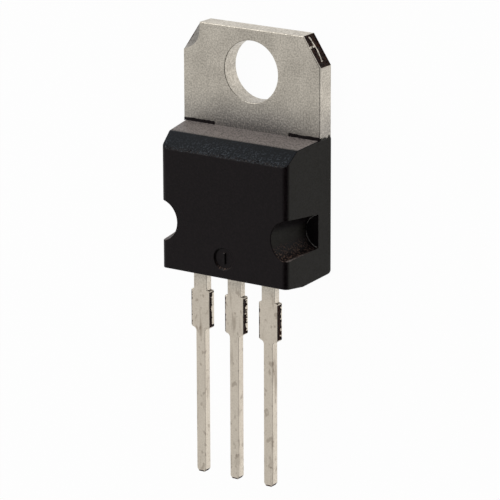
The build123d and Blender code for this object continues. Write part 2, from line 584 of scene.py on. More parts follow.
@dataclass(frozen=True)
class PlatingFinish:
    """Satin tin plating over copper, with a rolled grain, stains and a painted darker band by the moulding.

    Attributes:
        bright: Colour of the clean plating.
        dull: Colour of its duller grains.
        clean: Colour that the plating of the leads tends to.
        painted_body_reflection: Colour beside the moulding: a painted reflection of the black body.
        stain: Colour of the streaks and spots down the leads.
        reflection_start: Y where the painted darker band starts.
        reflection_end: Y where it is strongest.
        leads_start: Y below which the leads' own colour and streaks start.
        leads_end: Y where they are at full strength.
        edge: Distance from the middle where the painted darker band is weakest.
        middle: Distance from the middle where it is strongest.
        clean_share: How far the leads tend to the clean colour.
        roughness: Least and greatest roughness, before the streaks.
        reliefs: Depth of the streaks and of the speckle.
    """

    bright: Colour = (0.72, 0.665, 0.575)
    dull: Colour = (0.42, 0.385, 0.33)
    clean: Colour = (0.80, 0.715, 0.60)
    painted_body_reflection: Colour = (0.155, 0.148, 0.150)
    stain: Colour = (0.33, 0.27, 0.21)
    reflection_start: float = -0.9 * MM
    reflection_end: float = -4.0 * MM
    leads_start: float = -12.6 * MM
    leads_end: float = -14.1 * MM
    edge: float = 4.9 * MM
    middle: float = 1.5 * MM
    clean_share: float = 0.7
    roughness: tuple[float, float] = (0.33, 0.46)
    reliefs: tuple[float, float] = (0.0015 * MM, 0.003 * MM)

    def material(self) -> Material:
        """Build the material.

        Returns:
            The material.
        """
        wiring = Paint("tin_plating")
        shader = wiring.shader.inputs
        shader["Metallic"].default_value = 1.0
        cloud = wiring.noise(700, 4)
        speckle = wiring.noise(9500, 3)
        streak = wiring.noise(9000, 2, (1, 0.06, 1))
        smear = wiring.noise(2200, 3, (1, 0.16, 1))
        spots = wiring.noise(3600, 1, (1, 0.6, 1))
        height = wiring.along("Object", "Y")
        across = wiring.maths("ABSOLUTE", wiring.along("Object", "X"), 0.0)
        worn = wiring.total(wiring.span(cloud, 0.3, 0.7, 0, 0.35), wiring.span(speckle, 0.35, 0.68, 0, 0.65))
        # painted reflection: a mottled darker band where the tab mirrors the black body beside the moulding
        reflection_band = wiring.product(
            wiring.span(height, self.reflection_start, self.reflection_end),
            wiring.span(height, 1.6 * self.reflection_end, 1.4 * self.reflection_end),
            wiring.span(across, self.edge, self.middle, 0.62, 0.95),
            wiring.span(speckle, 0.3, 0.6, 0.6, 1),
        )
        on_leads = wiring.span(height, self.leads_start, self.leads_end)
        marks = wiring.total(wiring.span(smear, 0.55, 0.72, 0, 0.6), wiring.span(spots, 0.60, 0.72, 0, 0.5))
        colour = wiring.blend(worn, self.bright, self.dull)
        colour = wiring.blend(reflection_band, colour, self.painted_body_reflection)
        colour = wiring.blend(wiring.maths("MULTIPLY", on_leads, self.clean_share), colour, self.clean)
        colour = wiring.blend(wiring.product(marks, on_leads), colour, self.stain)
        wiring.join(colour, shader["Base Color"])
        rolled = wiring.span(streak, 0.3, 0.7, -0.04, 0.05)
        rough = wiring.total(wiring.span(speckle, 0.3, 0.7, *self.roughness), rolled)
        wiring.join(rough, shader["Roughness"])
        coarse = wiring.bump(streak, self.reliefs[0])
        wiring.join(wiring.bump(speckle, self.reliefs[1], coarse), shader["Normal"])
        return wiring.material


@dataclass(frozen=True)
class ShearFinish:
    """Bare copper where the strip was cropped after plating: dark, torn and oxidised.

    Attributes:
        name: Name of the material.
        dark: Colour of the hollows.
        brown: Colour of the high spots.
        metallic: How far it mirrors as metal does; the oxide keeps this low.
        specular: Strength of the mirrored light.
        relief: Depth of the tears.
    """

    name: str = "cropped_copper"
    dark: Colour = (0.014, 0.0045, 0.003)
    brown: Colour = (0.10, 0.040, 0.022)
    metallic: float = 0.25
    specular: float = 0.15
    relief: float = 0.015 * MM

    def material(self) -> Material:
        """Build the material.

        Returns:
            The material.
        """
        wiring = Paint(self.name)
        shader = wiring.shader.inputs
        torn = wiring.noise(7000, 4, (1, 0.5, 1))
        wiring.join(wiring.blend(wiring.span(torn, 0.4, 0.75), self.dark, self.brown), shader["Base Color"])
        shader["Metallic"].default_value = self.metallic
        shader["Specular IOR Level"].default_value = self.specular
        wiring.join(wiring.span(torn, 0.3, 0.7, 0.45, 0.7), shader["Roughness"])
        wiring.join(wiring.bump(torn, self.relief), shader["Normal"])
        return wiring.material


@dataclass(frozen=True)
class GrainFinish:
    """Plain finish with a fine grain, for the inner pieces and the pressed plating.

    Attributes:
        name: Name of the material.
        base: Colour.
        shade: Colour of the darker grains.
        metallic: How far it mirrors as metal does.
        roughness: Least roughness.
        spread: How much rougher its roughest grains are.
        relief: Depth of the grain.
    """

    name: str
    base: Colour
    shade: Colour
    metallic: float
    roughness: float
    spread: float = 0.12
    relief: float = 0.002 * MM

    def material(self) -> Material:
        """Build the material.

        Returns:
            The material.
        """
        wiring = Paint(self.name)
        shader = wiring.shader.inputs
        grain = wiring.noise(8000, 3)
        wiring.join(wiring.blend(wiring.span(grain, 0.3, 0.7), self.base, self.shade), shader["Base Color"])
        shader["Metallic"].default_value = self.metallic
        rough = wiring.span(grain, 0.3, 0.7, self.roughness, self.roughness + self.spread)
        wiring.join(rough, shader["Roughness"])
        wiring.join(wiring.bump(grain, self.relief), shader["Normal"])
        return wiring.material


PRESSED = GrainFinish("pressed_plating", (0.37, 0.35, 0.325), (0.25, 0.235, 0.215), 1.0, 0.36)


@dataclass
class Moulding:
    """Black moulded body: drafted sides, sloping bevel, two half-round notches, a mould mark.

    Attributes:
        package: Shared sizes.
        draft: Lean of every moulded side, as a tangent.
        bevel_height: Height of the sloping face, along Z.
        bevel_run: Length of the sloping face, along Y.
        side_round: Radius of the long front edges.
        rear_round: Radius of the rear edge beside the leads.
        soft: Radius of the remaining edges.
        crease: Half the height of the softened edge above the bevel.
        notch_up: Notch centre above the bottom of the body.
        notch_outset: Notch centre outside the side face.
        notch_floor: Notch radius at its floor.
        notch_mouth: Notch radius at the front face.
        notch_fillet: Radius where the notch's wall meets its floor.
        header_half: Half the width of the header that shows at the back.
        header_round: Radius of the header's lower corners.
        edge_steps: Steps along the outer stretch and along the middle of the top edge.
        notch_steps: Steps round a notch.
        corner_steps: Steps round a softened corner.
        header_steps: Steps round a corner of the header.
        chip_depth: Deepest chip out of the edge below the bevel.
        chip_sizes: Sizes that a chip's depth is drawn from, as shares of the deepest.
        chip_levels: Heights of the chipped rows below the front face.
        mark_centre: Y of the round mould mark on the front face.
        mark_rings: Radius and depth of each ring of the mark.
        mark_steps: Steps round a ring.
        figure: Outline of the plain 1 in the mark, in millimetres from its centre.
        figure_drop: Face of the 1 below the front face.
        bead_inner: X where the black bead in each seal groove starts.
        bead_height: Height of the bead, along Y.
        bead_end: Share of that height at the tab's side.
        bead_gap: Gap between the bead's end and the tab's side.
        bead_steps: Steps along the bead.
        bead_ragged: How far its top edge wanders.
        bead_depth: Depth of the bead's foot below the tab's front face.
        bead_proud: Height of its front above the tab's front face.
        flash_height: Highest peak of the flash beside the tab, above its least height.
        flash_foot: Depth of its foot in the body.
        flash_least: Its least height above its foot.
        flash_back: Height of its back end above the mounting face.
        flash_skin: Its inner and outer faces, from the tab's side outwards.
        flash_steps: Number of stretches in the flash.
        seed: Start of the random draws.
    """

    package: Package
    draft: float = math.tan(math.radians(5.7))
    bevel_height: float = 1.09 * MM
    bevel_run: float = 0.87 * MM
    side_round: float = 0.33 * MM
    rear_round: float = 0.25 * MM
    soft: float = 0.05 * MM
    crease: float = 0.035 * MM
    notch_up: float = 3.23 * MM
    notch_outset: float = 0.19 * MM
    notch_floor: float = 1.10 * MM
    notch_mouth: float = 1.34 * MM
    notch_fillet: float = 0.08 * MM
    header_half: float = 3.90 * MM
    header_round: float = 0.50 * MM
    edge_steps: tuple[int, int] = (14, 60)
    notch_steps: int = 28
    corner_steps: int = 4
    header_steps: int = 6
    chip_depth: float = 0.08 * MM
    chip_sizes: tuple[float, ...] = (0.0, 0.0, 0.4, 1.0)
    chip_levels: tuple[float, ...] = (0.16 * MM, 0.11 * MM, 0.07 * MM, 0.035 * MM)
    mark_centre: float = -11.22 * MM
    mark_rings: tuple[Point, ...] = ((0.74 * MM, 0.0), (0.71 * MM, 0.02 * MM), (0.63 * MM, 0.12 * MM))
    mark_steps: int = 64
    figure: tuple[Point, ...] = (
        (-0.07, -0.36), (0.07, -0.36), (0.07, 0.36), (-0.05, 0.36),
        (-0.20, 0.22), (-0.20, 0.10), (-0.07, 0.18),
    )
    figure_drop: float = 0.02 * MM
    bead_inner: float = 2.77 * MM
    bead_height: float = 0.25 * MM
    bead_end: float = 0.9
    bead_gap: float = 0.01 * MM
    bead_steps: int = 12
    bead_ragged: float = 0.06 * MM
    bead_depth: float = 0.13 * MM
    bead_proud: float = 0.004 * MM
    flash_height: float = 0.27 * MM
    flash_foot: float = 0.03 * MM
    flash_least: float = 0.04 * MM
    flash_back: float = 0.10 * MM
    flash_skin: tuple[float, float] = (-0.005 * MM, 0.018 * MM)
    flash_steps: int = 14
    seed: int = 5

    def side(self, z: float) -> float:
        """Half the body's width at height z, before its edges are rounded."""
        return self.package.body_high.x - self.draft * z

    def top(self, z: float) -> float:
        """Y of the body's top.

        Args:
            z: Height of the section.

        Returns:
            Its Y there, below the lean, the bevel and the softened front edge.
        """
        bevel_start = self.package.body_high.z - self.bevel_height
        lean = self.draft * max(min(z, bevel_start) - self.package.tab_thickness, 0.0)
        slope = max(z - bevel_start, 0.0) * self.bevel_run / self.bevel_height
        return self.package.body_high.y - lean - slope - edge_round(self.package.body_high.z - z, self.soft)

    def bottom(self, z: float) -> float:
        """Y of the body's bottom, which is lowest at the back of the leads.

        Args:
            z: Height of the section.

        Returns:
            Its Y there, above the lean and the rounded edges.
        """
        lean = self.draft * abs(z - self.package.lead_low.z)
        rounding = edge_round(self.package.body_high.z - z, self.soft) + edge_round(z, self.rear_round)
        return self.package.body_low.y + lean + rounding

    def chips(self, z: float, side: Side, count: int) -> list[float]:
        """Depth of the chips along the top edge at height z, nothing away from the front face.

        Args:
            z: Height of the section.
            side: Half of the body.
            count: Number of points along the edge.

        Returns:
            One depth for each point.
        """
        depth = self.package.body_high.z - z
        if not HAIR <= depth <= max(self.chip_levels) + HAIR:
            return [0.0] * count
        draw = random.Random(f"{self.seed} {side.name} {round(depth / MM, 3)}")
        return [draw.choice(self.chip_sizes) * draw.random() * self.chip_depth for _ in range(count)]

    def half(self, z: float, header: bool, notch: bool, side: Side) -> list[Point]:
        """One half of the body's section at height z, from the bottom to the top.

        Args:
            z: Height of the section.
            header: Whether the section leaves out the header.
            notch: Whether the section is cut by the side notch.
            side: Half of the body, which sets the chips only.

        Returns:
            The same number of points for every section, as for the right half.
        """
        front = self.package.body_high.z
        seat_z = self.package.tab_thickness
        full = self.side(z)
        edge = full - edge_round(front - z, self.side_round) - edge_round(z, self.soft)
        bottom, top = self.bottom(z), self.top(z)
        middle = self.package.body_low.y + self.notch_up
        share = max((z - seat_z) / (front - seat_z), 0.0)
        radius = self.notch_floor + (self.notch_mouth - self.notch_floor) * share
        radius += edge_round(front - z, self.soft) - edge_round(max(z - seat_z, 0.0), self.notch_fillet)
        opening = math.degrees(math.acos((full + self.notch_outset - edge) / radius))
        lip = radius * math.sin(math.radians(opening))
        if notch:
            centre = (full + self.notch_outset, middle)
            bite = arc(centre, radius, 180 + opening, 180 - opening, self.notch_steps)
        else:
            bite = line((edge, middle - lip), (edge, middle + lip), self.notch_steps)
        outline = [(0.0, bottom)]
        outline += arc((edge - self.soft, bottom + self.soft), self.soft, -90, 0, self.corner_steps)
        outline += bite
        outline += arc((edge - self.soft, top - self.soft), self.soft, 0, 90, self.corner_steps)
        width, end, corner = self.header_half, self.package.header_end, self.header_round
        outer_steps, inner_steps = self.edge_steps
        crown = line((edge - self.soft, top), (width, top), outer_steps)[1:-1]
        if header:
            crown += line((width, top), (width, end + corner), inner_steps // 2)
            crown += arc((width - corner, end + corner), corner, 0, -90, self.header_steps)[1:]
            crown += line((width - corner, end), (0.0, end), inner_steps // 2 - self.header_steps)[1:]
        else:
            crown += line((width, top), (0.0, top), inner_steps)
        chips = self.chips(z, side, len(crown))
        return outline + [(x, y - chip) for (x, y), chip in zip(crown, chips)]

    def section(self, z: float, header: bool, notch: bool) -> list[Vector]:
        """Whole section at height z, both halves.

        Args:
            z: Height of the section.
            header: Whether it leaves out the header.
            notch: Whether the notches cut it.

        Returns:
            The closed outline.
        """
        right = self.half(z, header, notch, Side.RIGHT)
        left = self.half(z, header, notch, Side.LEFT)
        return lifted(right + [(-x, y) for x, y in reversed(left[1:-1])], z)

    def levels(self) -> list[tuple[float, bool, bool]]:
        """Heights of the stacked sections, with what cuts each one.

        Returns:
            Height, header and notch for each section, from the back to the front.
        """
        front = self.package.body_high.z
        seat_z = self.package.tab_thickness
        bevel_start = front - self.bevel_height
        rear = [self.rear_round * (1 - math.cos(math.radians(a))) for a in range(0, 91, 15)]
        fillet = [self.notch_fillet * (1 - math.cos(math.radians(a))) for a in (0, 20, 40, 60, 90)]
        rounded = [front - self.side_round * (1 - math.sin(math.radians(a))) for a in range(0, 81, 10)]
        chipped = [front - depth for depth in self.chip_levels]
        upper = [seat_z + rise for rise in fillet]
        upper += [self.package.lead_low.z, bevel_start - self.crease, bevel_start + self.crease]
        upper += sorted(rounded + chipped + [front])
        stack = [(z, True, False) for z in rear + [seat_z]]
        return stack + [(z, False, True) for z in upper]

    def mark(self, bm: Mesh) -> list[Vert]:
        """Add the sunken round mark, with a plain raised 1 in it as the mould's cavity number.

        Args:
            bm: The mesh to add to.

        Returns:
            The mark's rim, which is a hole in the front face.
        """
        front = self.package.body_high.z
        rings = []
        for radius, depth in self.mark_rings:
            circle = arc((0, self.mark_centre), radius, 0, 360, self.mark_steps)[:-1]
            rings.append(lifted(circle, front - depth))
        rim, floor = loft(bm, rings)
        cover(bm, floor)
        outline = [(x * MM, self.mark_centre + y * MM) for x, y in self.figure]
        levels = (front - self.mark_rings[-1][1], front - self.figure_drop)
        foot, face = loft(bm, [lifted(outline, z) for z in levels])
        cover(bm, foot)
        cover(bm, face)
        return rim

    def flash(self, bm: Mesh, side: Side) -> None:
        """Add the thin jagged flash that climbs the tab's side.

        Args:
            bm: The mesh to add to.
            side: Side of the tab.
        """
        draw = random.Random(self.seed + side.value)
        foot = self.package.body_high.y - self.flash_foot
        least = foot + self.flash_least
        ridge = line((self.flash_back, foot), (self.package.tab_thickness, foot), self.flash_steps)
        peaks = [(z, least + draw.random() ** 2 * self.flash_height) for z, _ in ridge[1:-1]]
        outline = [ridge[0], *peaks, ridge[-1]]
        faces = [side.value * (self.package.metal_high.x + out) for out in self.flash_skin]
        sheets = [[Vector((x, y, z)) for z, y in outline] for x in faces]
        for loop in loft(bm, sheets):
            cover(bm, loop)

    def bead(self, bm: Mesh, side: Side) -> None:
        """Add the black bead in the seal groove of the tab's front: partly compound, partly a painted shade
        that keeps the groove dark.

        Args:
            bm: The mesh to add to.
            side: Side of the tab.
        """
        draw = random.Random(self.seed - side.value)
        foot = self.package.body_high.y
        outer = self.package.metal_high.x - self.bead_gap
        start = (outer, foot + self.bead_end * self.bead_height)
        crest = line(start, (self.bead_inner, foot + self.bead_height), self.bead_steps)
        crest = [(x, y - draw.random() * self.bead_ragged) for x, y in crest]
        outline = [(side.value * x, y) for x, y in [(self.bead_inner, foot), (outer, foot), *crest]]
        thick = self.package.tab_thickness
        levels = (thick - self.bead_depth, thick + self.bead_proud)
        for loop in loft(bm, [lifted(outline, z) for z in levels]):
            cover(bm, loop)

    def build(self) -> Piece:
        """Build the body.

        Returns:
            The finished piece.
        """
        bm = bmesh.new()
        back, face = loft(bm, [self.section(*level) for level in self.levels()])
        cover(bm, face, self.mark(bm))
        cover(bm, back)
        for side in Side:
            self.flash(bm, side)
            # the black bead darkens each seal groove: partly compound, partly painted shade
            self.bead(bm, side)
        return finish_mesh(bm, "moulding")

    def dress(self, piece: Piece, material: Material) -> None:
        """Give the body its finish and seat it."""
        piece.data.materials.append(material)
        seat(piece, Slot.MOULDING, "moulded_body")


@dataclass
class Lead:
    """One flat lead: neck, wide stop with cropped edges, concave shoulders and a pin.

    Attributes:
        package: Shared sizes.
        centre: X of the lead.
        inner_end: Y of its inner end, inside the moulding.
        seed: Start of the random draws for its torn edges.
        clean_share: Share of the thickness that the crop left clean, from the back.
        ragged: How far the torn zone wanders, as a share of the thickness.
        neck_half: Half the width of the neck.
        neck_length: Length of the neck below the body.
        wide_half: Half the width of the wide part.
        wide_length: Length of the wide part.
        step_round: Radius of the wide part's upper corners.
        shoulder_drop: Fall of the shoulder to its curve.
        shoulder_round: Radius of the concave shoulder.
        pin_half: Half the width of the pin.
        tip_across: Chamfer at the tip, across the lead.
        tip_along: Chamfer at the tip, along the lead.
        tip_rim: Height of the rolled rim round the cut tip.
        soft: Radius of the stamped edges.
        tear_depth: Deepest tear in the cropped edge.
        torn_steps: Number of steps down the cropped edge.
        torn_ends: Steps at each end of it that are torn right through.
        tear_sizes: Sizes that a tear is drawn from, as shares of the deepest.
        torn_to: Share of the thickness where the right tears end.
        rim_from: Share where the ragged left rim of the front starts.
        rim_tear: Deepest tear in that rim, as a share of the deepest in the edge.
        lit_from: Share where the right edge is clean again at the front.
        soft_shares: Levels of the rounded edges, as shares of the thickness.
    """

    package: Package
    centre: float
    inner_end: float
    seed: int
    clean_share: float
    ragged: float
    neck_half: float = 0.485 * MM
    neck_length: float = 1.27 * MM
    wide_half: float = 0.69 * MM
    wide_length: float = 2.38 * MM
    step_round: float = 0.07 * MM
    shoulder_drop: float = 0.08 * MM
    shoulder_round: float = 0.27 * MM
    pin_half: float = 0.335 * MM
    tip_across: float = 0.13 * MM
    tip_along: float = 0.18 * MM
    tip_rim: float = 0.09 * MM
    soft: float = 0.025 * MM
    tear_depth: float = 0.05 * MM
    torn_steps: int = 28
    torn_ends: int = 2
    tear_sizes: tuple[float, ...] = (0.2, 0.5, 1.0)
    torn_to: float = 0.95
    rim_from: float = 0.99
    rim_tear: float = 1.4
    lit_from: float = 0.97
    soft_shares: tuple[float, ...] = (0.0, 0.02, 0.05)

    @property
    def wide_top(self) -> float:
        """Y of the wide part's upper end."""
        return self.package.body_low.y - self.neck_length

    @property
    def wide_bottom(self) -> float:
        """Y of the wide part's lower end."""
        return self.wide_top - self.wide_length

    def half(self, inset: float, tears: Sequence[float]) -> list[Point]:
        """One half of the blade's outline, from its inner end to its tip.

        Args:
            inset: How far the outline is drawn in.
            tears: Depth of the torn edge at each step down the wide part.

        Returns:
            Points as (distance from the lead's middle, Y).
        """
        shoulder = self.wide_bottom - self.shoulder_drop
        tip = self.package.metal_low.y
        neck, wide, pin = (width - inset for width in (self.neck_half, self.wide_half, self.pin_half))
        bend, top = self.step_round, self.wide_top - inset
        outline = [(neck, self.inner_end)]
        outline += arc((neck + bend, top + bend), bend, 180, 270, 4)
        outline += arc((wide - bend, top - bend), bend, 90, 0, 4)
        torn = line((wide, top - bend), (wide, self.wide_bottom + inset), self.torn_steps)[1:]
        outline += [(x - tear, y) for (x, y), tear in zip(torn, tears)]
        radius = self.shoulder_round
        outline += arc((pin + radius, shoulder - radius), radius, 90, 180, 8)
        roll = self.tip_rim * inset / self.soft
        outline += [(pin, tip + self.tip_along + roll), (pin - self.tip_across, tip + roll)]
        return outline

    def section(self, z: float, inset: float, tears: Sequence[Sequence[float]]) -> list[Vector]:
        """Whole outline of the blade at height z.

        Args:
            z: Height of the outline.
            inset: How far it is drawn in.
            tears: Torn depths of the right edge and of the left edge.

        Returns:
            The closed outline.
        """
        right = self.half(inset, tears[0])
        left = [(-x, y) for x, y in reversed(self.half(inset, tears[1]))]
        return lifted([(self.centre + x, y) for x, y in right + left], z)

    def torn(self, y: float, share: float) -> bool:
        """Whether a spot of the cropped edge is torn rather than clean.

        Args:
            y: Y of the spot.
            share: Its place through the thickness, from the back.

        Returns:
            True in the torn zone, whose ends reach right through.
        """
        step = round((self.wide_top - y) / self.wide_length * self.torn_steps)
        if not self.torn_ends <= step <= self.torn_steps - self.torn_ends:
            return True
        wander = random.Random(f"{self.seed} {step}").uniform(-self.ragged, self.ragged)
        return share > self.clean_share + wander

    def tears(self, draw: random.Random, deepest: float) -> list[float]:
        """Depths of the tears down one edge at one height."""
        return [draw.choice(self.tear_sizes) * deepest for _ in range(self.torn_steps)]

    def skin(self, bm: Mesh) -> None:
        """Add the blade to a mesh, with its cropped edges and cut tip in the second material.

        Args:
            bm: The mesh to add to.
        """
        draw = random.Random(self.seed)
        low, high = self.package.lead_low.z, self.package.lead_high.z
        inner_shares = [0.1 * i for i in range(1, 10)]
        shares = [*self.soft_shares, *inner_shares, *(1 - s for s in reversed(self.soft_shares))]
        stack = []
        for share in shares:
            z = low + (high - low) * share
            inset = edge_round(min(z - low, high - z), self.soft)
            right = self.tear_depth if self.clean_share < share < self.torn_to else 0.0
            left = right if share < self.rim_from else self.rim_tear * self.tear_depth
            stack.append(self.section(z, inset, [self.tears(draw, right), self.tears(draw, left)]))
        known = set(bm.faces)
        back, front = loft(bm, stack)
        for face in set(bm.faces) - known:
            middle = face.calc_center_median()
            share = (middle.z - low) / (high - low)
            beside = abs(middle.x - self.centre) > self.neck_half + 2 * self.soft
            if beside and self.wide_bottom < middle.y < self.wide_top - self.step_round:
                reach = self.lit_from if middle.x > self.centre else 1.0
                face.material_index = int(share < reach and self.torn(middle.y, share))
            elif middle.y < self.package.metal_low.y + self.tip_rim:
                face.material_index = 1
        cover(bm, front)
        cover(bm, back)


@dataclass
class AnodeLead:
    """Outer lead with the bond pad that it carries inside the moulding.

    Attributes:
        package: Shared sizes.
        side: Side of the part.
        pad_half: Half the pad's width.
        pad_top: Pad's upper edge above the bottom of the body.
        pad_bottom: Pad's lower edge above the bottom of the body.
        pad_round: Radius of the pad's corners.
        seed: Start of the random draws, before the side is added.
        clean_shares: Clean share of the cropped edge on each side.
        ragged: How far the torn zone wanders on each side.
    """

    package: Package
    side: Side
    pad_half: float = 1.0 * MM
    pad_top: float = 2.06 * MM
    pad_bottom: float = 0.66 * MM
    pad_round: float = 0.20 * MM
    seed: int = 11
    clean_shares: dict[Side, float] = field(default_factory=lambda: {Side.LEFT: 0.50, Side.RIGHT: 0.22})
    ragged: dict[Side, float] = field(default_factory=lambda: {Side.LEFT: 0.10, Side.RIGHT: 0.16})

    def build(self) -> Piece:
        """Build the lead.

        Returns:
            The finished piece.
        """
        bm = bmesh.new()
        centre = self.side.value * self.package.lead_pitch
        floor = self.package.body_low.y
        middle = floor + (self.pad_top + self.pad_bottom) / 2
        low, high = self.package.lead_low.z, self.package.lead_high.z
        size = Vector((2 * self.pad_half, self.pad_top - self.pad_bottom, high - low))
        place = Matrix.Translation((centre, middle, (low + high) / 2)) @ Matrix.Diagonal((*size, 1))
        bmesh.ops.create_cube(bm, size=1.0, matrix=place)
        upright = [edge for edge in bm.edges if abs(edge.verts[0].co.z - edge.verts[1].co.z) > HAIR]
        bmesh.ops.bevel(
            bm, geom=upright, offset=self.pad_round, segments=4, profile=0.5, affect="EDGES", material=-1
        )
        seed = self.seed + self.side.value
        blade = Lead(self.package, centre, middle, seed, self.clean_shares[self.side], self.ragged[self.side])
        blade.skin(bm)
        return finish_mesh(bm, f"{self.side.name.lower()}_lead")

    def dress(self, piece: Piece, *finishes: Material) -> None:
        """Give the lead its plated and cropped finishes, and seat it.

        Args:
            piece: The lead.
            finishes: Its materials, in the order of its slots.
        """
        for material in finishes:
            piece.data.materials.append(material)
        seat(piece, Slot.PLATING, f"{self.side.name.lower()}_anode_lead")


@dataclass
class Tab:
    """Tab, header and centre lead, in one piece.

    Attributes:
        package: Shared sizes.
        clip_across: Clipped corner, across the tab.
        clip_along: Clipped corner, along the tab.
        clip_steps: Number of steps along a clipped corner.
        hole_radius: Radius of the hole.
        hole_steps: Steps round the hole.
        header_half: Half the width of the header.
        header_round: Radius of the header's lower corners.
        soft: Radius of the stamped edges.
        dish_width: Width of the pressed crescent beside the left clip.
        dish_depth: Its depth at the clip.
        rim_height: Height of the torn rim that reaches into it.
        groove_inner: X where each seal groove starts.
        groove_height: Height of a seal groove, along Y.
        groove_depth: Its depth.
        ridge_z: Z of the plated ridge along a clipped face.
        ridge_half: Half the ridge's greatest width.
        ridge_wander: How far it wanders either way.
        ridge_waves: How fast it wanders, in radians along the face.
        ridge_thin: Share of its greatest width that it thins to.
        ridge_share: Share of the clipped face below the ridge's lower end.
        tear_depth: Deepest tear in a clipped face.
        torn_rows: Rows of small faces through the thickness.
        nick_share: Place of the nick and spur along the right clipped edge, from its lower end.
        nick_half: Half its length, as a share of the edge.
        nick_from: Share of the thickness where the nick starts.
        nick_depth: Its depth.
        joggle_foot: Flat run at each end of the joggle.
        joggle_run: Length of its slope, along Y.
    """

    package: Package
    clip_across: float = 1.24 * MM
    clip_along: float = 1.85 * MM
    clip_steps: int = 36
    hole_radius: float = 1.96 * MM
    hole_steps: int = 96
    header_half: float = 3.90 * MM
    header_round: float = 0.50 * MM
    soft: float = 0.05 * MM
    dish_width: float = 0.44 * MM
    dish_depth: float = 0.10 * MM
    rim_height: float = 0.012 * MM
    groove_inner: float = 2.75 * MM
    groove_height: float = 0.15 * MM
    groove_depth: float = 0.12 * MM
    ridge_z: float = 0.63 * MM
    ridge_half: float = 0.085 * MM
    ridge_wander: float = 0.05 * MM
    ridge_waves: float = 7.0
    ridge_thin: float = 0.45
    ridge_share: float = 0.17
    tear_depth: float = 0.06 * MM
    torn_rows: int = 30
    nick_share: float = 0.64
    nick_half: float = 0.06
    nick_from: float = 0.7
    nick_depth: float = 0.06 * MM
    joggle_foot: float = 0.25 * MM
    joggle_run: float = 1.35 * MM

    def on_ridge(self, z: float, share: float, side: Side) -> bool:
        """Whether a spot of a clipped face lies on its plated ridge.

        Args:
            z: Height of the spot.
            share: Its place along the face, from the lower end.
            side: Corner.

        Returns:
            True on the ridge, which wanders and thins out, and on its spur to the front edge.
        """
        step = round(share * self.clip_steps)
        wobble = random.Random(f"{side.name} ridge {step}").uniform(self.ridge_thin, 1.0)
        centre = self.ridge_z + self.ridge_wander * math.sin(self.ridge_waves * share + side.value)
        spur = side is Side.RIGHT and abs(share - self.nick_share) < 0.5 * self.nick_half and z > centre
        near = spur or abs(z - centre) < wobble * self.ridge_half
        return near and self.ridge_share < share < 1 - self.nick_half

    def clip(self, z: float, inset: float, side: Side) -> list[Point]:
        """Points along one clipped corner at height z, from its lower end.

        Args:
            z: Height of the section.
            inset: How far the outline is drawn in.
            side: Corner; the left one has the pressed crescent, the right one a nick.

        Returns:
            The points, as for the right corner.
        """
        half, top = self.package.metal_high.x, self.package.metal_high.y
        low, high = (half - inset, top - self.clip_along), (half - self.clip_across, top - inset)
        edge = line(low, high, self.clip_steps)
        inward = Vector((-self.clip_along, -self.clip_across)).normalized()
        draw = random.Random(f"{side.name} {round(z / MM, 3)}")
        thick = self.package.tab_thickness
        sunk = max(z - (thick - self.dish_depth), 0.0) / self.dish_depth
        points = [edge[0]]
        for i, (x, y) in enumerate(edge[1:-1], start=1):
            share = i / self.clip_steps
            reach = draw.uniform(0.3, 1.0) * self.tear_depth
            if not self.soft < z < thick - self.dish_depth or self.on_ridge(z, share, side):
                reach = 0.0
            if side is Side.LEFT:
                reach += self.dish_width * sunk * math.sin(math.pi * share)
            elif z > self.nick_from * thick:
                reach += self.nick_depth * max(1 - abs(share - self.nick_share) / self.nick_half, 0.0)
            points.append((x + inward.x * reach, y + inward.y * reach))
        return points + [edge[-1]]

    def half(self, z: float, inset: float, groove: bool, side: Side) -> list[Point]:
        """One half of the outline at height z, from the header's lower corner to the top.

        Args:
            z: Height of the section.
            inset: How far the outline is drawn in.
            groove: Whether the seal groove cuts it.
            side: Half of the tab.

        Returns:
            The same number of points for every section, as for the right half.
        """
        half = self.package.metal_high.x - inset
        shoulder = self.package.body_high.y
        rise = shoulder + self.groove_height
        head, end, corner = self.header_half - inset, self.package.header_end + inset, self.header_round
        outline = arc((head - corner, end + corner), corner, -90, 0, 6)
        if groove:
            inner = self.groove_inner - inset
            outline += [(head, shoulder), (inner, shoulder), (inner, rise + inset), (half, rise + inset)]
        else:
            outline += [(head, shoulder), (head, shoulder), (half, shoulder), (half, rise)]
        return outline + self.clip(z, inset, side)

    def section(self, z: float, inset: float, groove: bool) -> list[Vector]:
        """Whole outline at height z.

        Args:
            z: Height of the section.
            inset: How far the outline is drawn in.
            groove: Whether the seal grooves cut it.

        Returns:
            The closed outline.
        """
        right = self.half(z, inset, groove, Side.RIGHT)
        left = self.half(z, inset, groove, Side.LEFT)
        return lifted(right + [(-x, y) for x, y in reversed(left)], z)

    def plate(self, bm: Mesh) -> None:
        """Add the holed plate to a mesh, with the cuts and the crescent in their own materials.

        Args:
            bm: The mesh to add to.
        """
        thick = self.package.tab_thickness
        rounding = [
            (self.soft * (1 - math.sin(math.radians(a))), self.soft * (1 - math.cos(math.radians(a))))
            for a in (90, 65, 40, 20, 0)
        ]
        base = thick - self.groove_depth
        rows = range(1, self.torn_rows + 1)
        levels = [(depth, inset, False) for depth, inset in rounding]
        levels += [(self.soft + (base - self.soft) * row / self.torn_rows, 0.0, False) for row in rows]
        levels += [(base, 0.0, True)]
        rim = thick - self.dish_depth
        levels += [(rim, 0.0, True), (rim + self.rim_height, 0.0, True)]
        levels += [(thick - depth, inset, True) for depth, inset in reversed(rounding)]
        back, front = loft(bm, [self.section(*level) for level in levels])
        for face in bm.faces:
            self.mark_cut(face, rim + self.rim_height)
        wall = [(self.hole_radius + inset, z) for z, inset, _ in levels]
        rings = [lifted(arc((0, 0), radius, 0, 360, self.hole_steps)[:-1], z) for radius, z in wall]
        rear_hole, front_hole = loft(bm, rings)
        cover(bm, front, front_hole)
        cover(bm, back, rear_hole)

